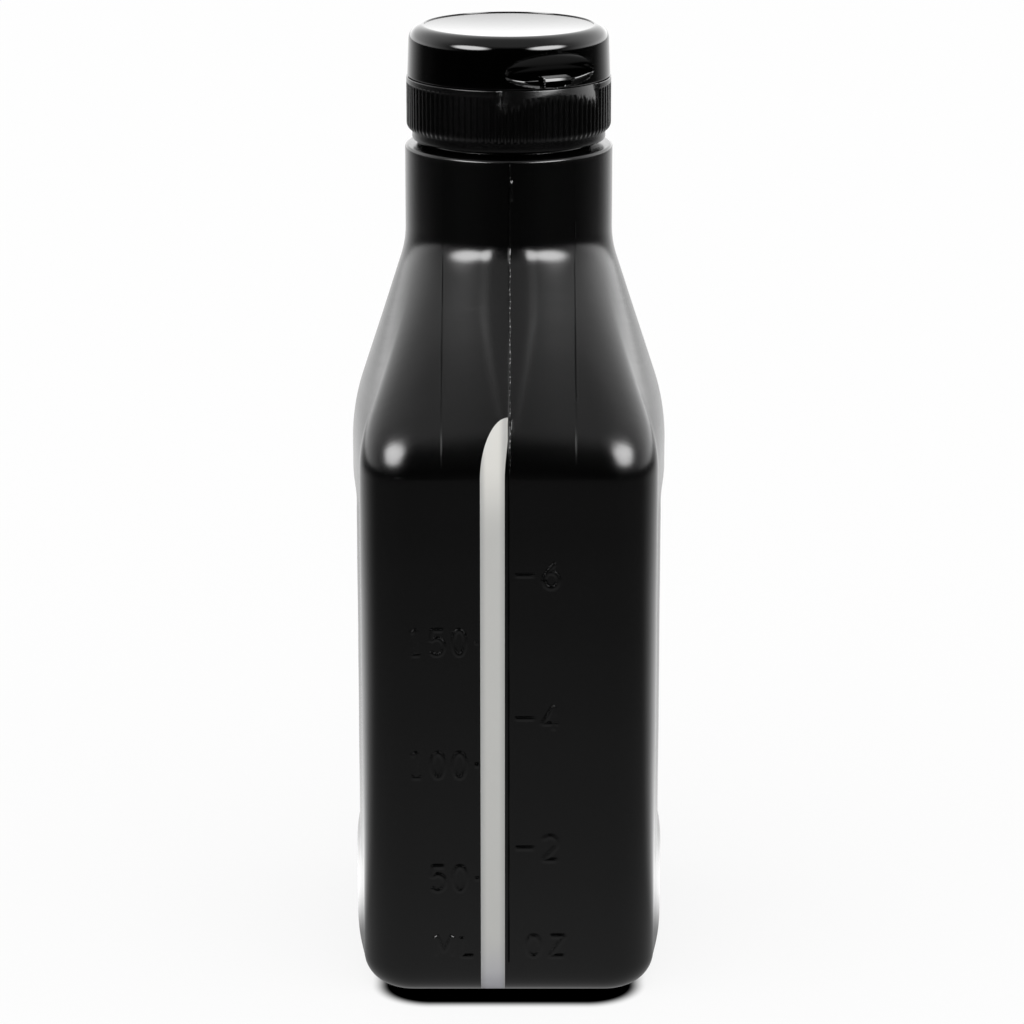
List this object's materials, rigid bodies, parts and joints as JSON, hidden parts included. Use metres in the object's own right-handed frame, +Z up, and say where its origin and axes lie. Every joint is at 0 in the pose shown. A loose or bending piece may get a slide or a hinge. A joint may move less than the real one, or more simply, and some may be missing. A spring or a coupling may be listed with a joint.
{
  "type": "tire sealant bottle",
  "caption": "Oblong black squeeze bottle for tire sealant, with a translucent level stripe, raised volume marks and a ribbed flip-top screw closure.",
  "frame": {"origin": "middle of the base, on the axis of the neck, at the height of the surface that the bottle stands on", "axes": "+Z up through the neck, Y across the wide direction, X through the thickness; the level stripe is on the narrow side that faces -Y"},
  "size_m": [0.0488, 0.064, 0.147],
  "materials": {
    "black_bottle": "blow-moulded polyethylene, soft gloss",
    "natural_stripe": "undyed translucent polyethylene, soft gloss",
    "liner_foam": "fine closed-cell foam",
    "closure_black": "injection-moulded polypropylene, satin",
    "lid_black": "injection-moulded polypropylene, polished"
  },
  "bodies": {
    "bottle": {"bottle": "black_bottle", "level_stripe": "natural_stripe"},
    "liner": {"sealing_liner": "liner_foam"},
    "closure": {"closure": "closure_black"},
    "lid": {"lid": "lid_black"}
  },
  "joints": [
    {"name": "closure_rise", "type": "slide", "parent": "bottle", "child": "liner", "axis": [0, 0, 1], "range_m": [0, 0.00847]},
    {"name": "closure_turn", "type": "hinge", "parent": "liner", "child": "closure", "pos_m": [0, 0, 0.1391], "axis": [0, 0, 1], "range_deg": [0, 720]},
    {"name": "lid_flip", "type": "hinge", "parent": "closure", "child": "lid", "pos_m": [-0.00731, 0.01435, 0.1391], "axis": [-0.891, -0.454, 0], "range_deg": [0, 135]}
  ],
  "couplings": [
    {"joint": "closure_rise", "follows": "closure_turn", "m_per_rad": 0.00067375}
  ]
}
